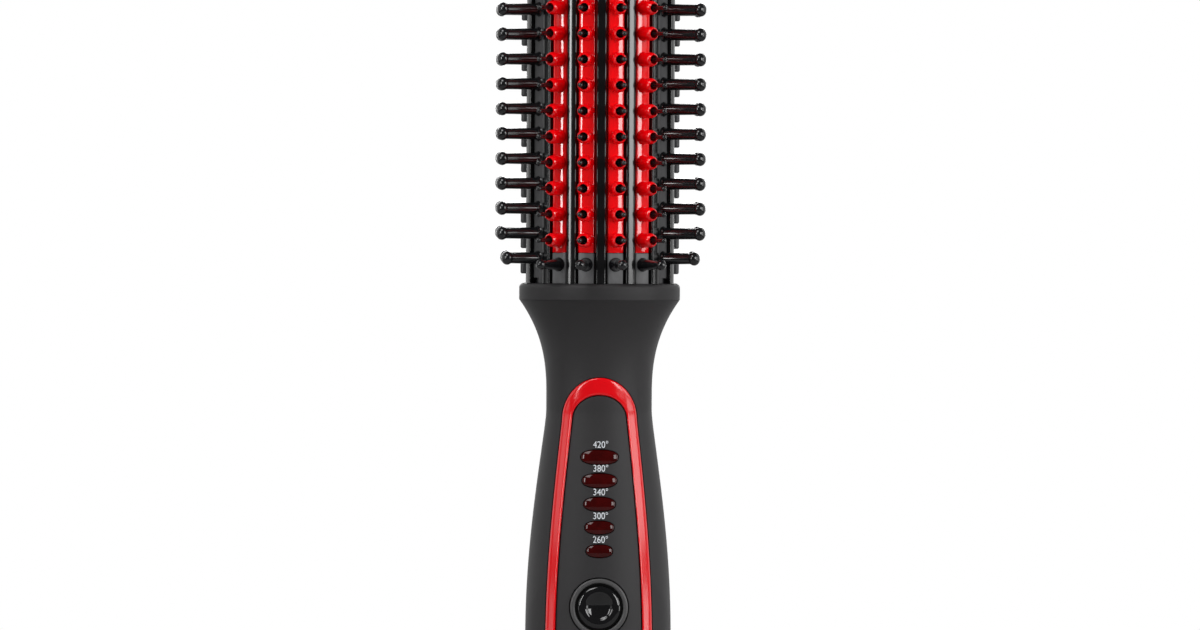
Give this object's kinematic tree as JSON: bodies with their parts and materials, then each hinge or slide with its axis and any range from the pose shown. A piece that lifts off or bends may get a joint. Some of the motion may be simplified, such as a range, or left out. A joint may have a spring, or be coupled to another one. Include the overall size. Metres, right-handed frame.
{
  "type": "heated round styling brush",
  "caption": "Heated round styling brush with a finned barrel, strips of pins, a row of lights, one power button and a swivelling cord inlet.",
  "frame": {"origin": "on the brush's axis, at the flat end of the cord gland", "axes": "+Z along the axis towards the cool tip, -Y towards the control panel, +X to the right of it"},
  "size_m": [0.0522, 0.0562, 0.2955],
  "materials": {
    "barrel_black": "black anodised and polished",
    "strip_red": "glossy heat-proof plastic",
    "pin_black": "glossy heat-proof plastic",
    "pin_grey": "satin heat-proof plastic",
    "soft_touch": "soft-touch coat",
    "trim_red": "satin",
    "lens_red": "clear, dark red",
    "bezel_grey": "matte",
    "button_black": "glossy",
    "gland_black": "satin",
    "carrier_plastic": "plain moulded",
    "seat_plastic": "heat-proof, plain moulded",
    "ceramic": "insulating film over ceramic",
    "shoe_aluminium": "as extruded",
    "steel": "zinc plated",
    "lead_red": "silicone insulation",
    "lead_white": "silicone insulation",
    "led_white": "clear",
    "board_green": "solder resist",
    "component_black": "plain moulded",
    "contact_brass": "plain"
  },
  "bodies": {
    "brush": {"barrel_extrusion": "barrel_black", "red_boss_strip_1": "strip_red", "red_boss_strip_2": "strip_red", "red_boss_strip_3": "strip_red", "red_boss_strip_4": "strip_red", "red_boss_strip_5": "strip_red", "red_boss_strip_6": "strip_red", "red_boss_strip_7": "strip_red", "red_boss_strip_8": "strip_red", "thin_pin_strip_1": "pin_black", "thin_pin_strip_2": "pin_black", "thin_pin_strip_3": "pin_black", "thin_pin_strip_4": "pin_black", "thin_pin_strip_5": "pin_black", "thin_pin_strip_6": "pin_black", "thin_pin_strip_7": "pin_black", "thin_pin_strip_8": "pin_black", "side_pin_strip_1": "pin_grey", "side_pin_strip_2": "pin_grey", "side_pin_strip_3": "pin_grey", "side_pin_strip_4": "pin_grey", "comb_strip_left": "pin_grey", "comb_strip_right": "pin_grey", "tip_plug": "soft_touch", "tip_cap": "soft_touch", "tip_screws": "steel", "ptc_heater": "ceramic", "heater_shoe_front": "shoe_aluminium", "heater_shoe_rear": "shoe_aluminium", "thermistor": "ceramic", "thermal_fuse": "steel", "heater_leads": "lead_red", "barrel_seat": "seat_plastic", "seat_screws": "steel", "collar_ring": "soft_touch", "handle_front_shell": "soft_touch", "handle_rear_shell": "soft_touch", "shell_screws": "steel", "trim_ring": "trim_red", "control_panel": "soft_touch", "panel_carrier": "carrier_plastic", "light_lens_1": "lens_red", "light_lens_2": "lens_red", "light_lens_3": "lens_red", "light_lens_4": "lens_red", "light_lens_5": "lens_red", "light_leds": "led_white", "circuit_board": "board_green", "board_components": "component_black", "board_screws": "steel", "tact_switch": "component_black", "button_bezel": "bezel_grey", "contact_block": "component_black", "slip_contacts": "contact_brass", "supply_leads": "lead_white"},
    "button": {"power_button": "button_black", "switch_plunger": "component_black"},
    "gland": {"cord_gland": "gland_black", "gland_retainer": "steel", "slip_rings": "contact_brass"}
  },
  "joints": [
    {"name": "button_press", "type": "slide", "parent": "brush", "child": "button", "axis": [0, 1, 0], "range_m": [0, 0.0005], "stiffness_N_per_m": 2000, "springref_m": -0.0005},
    {"name": "gland_swivel", "type": "hinge", "parent": "brush", "child": "gland", "pos_m": [0, 0, 0.008], "axis": [0, 0, 1], "continuous": true}
  ]
}
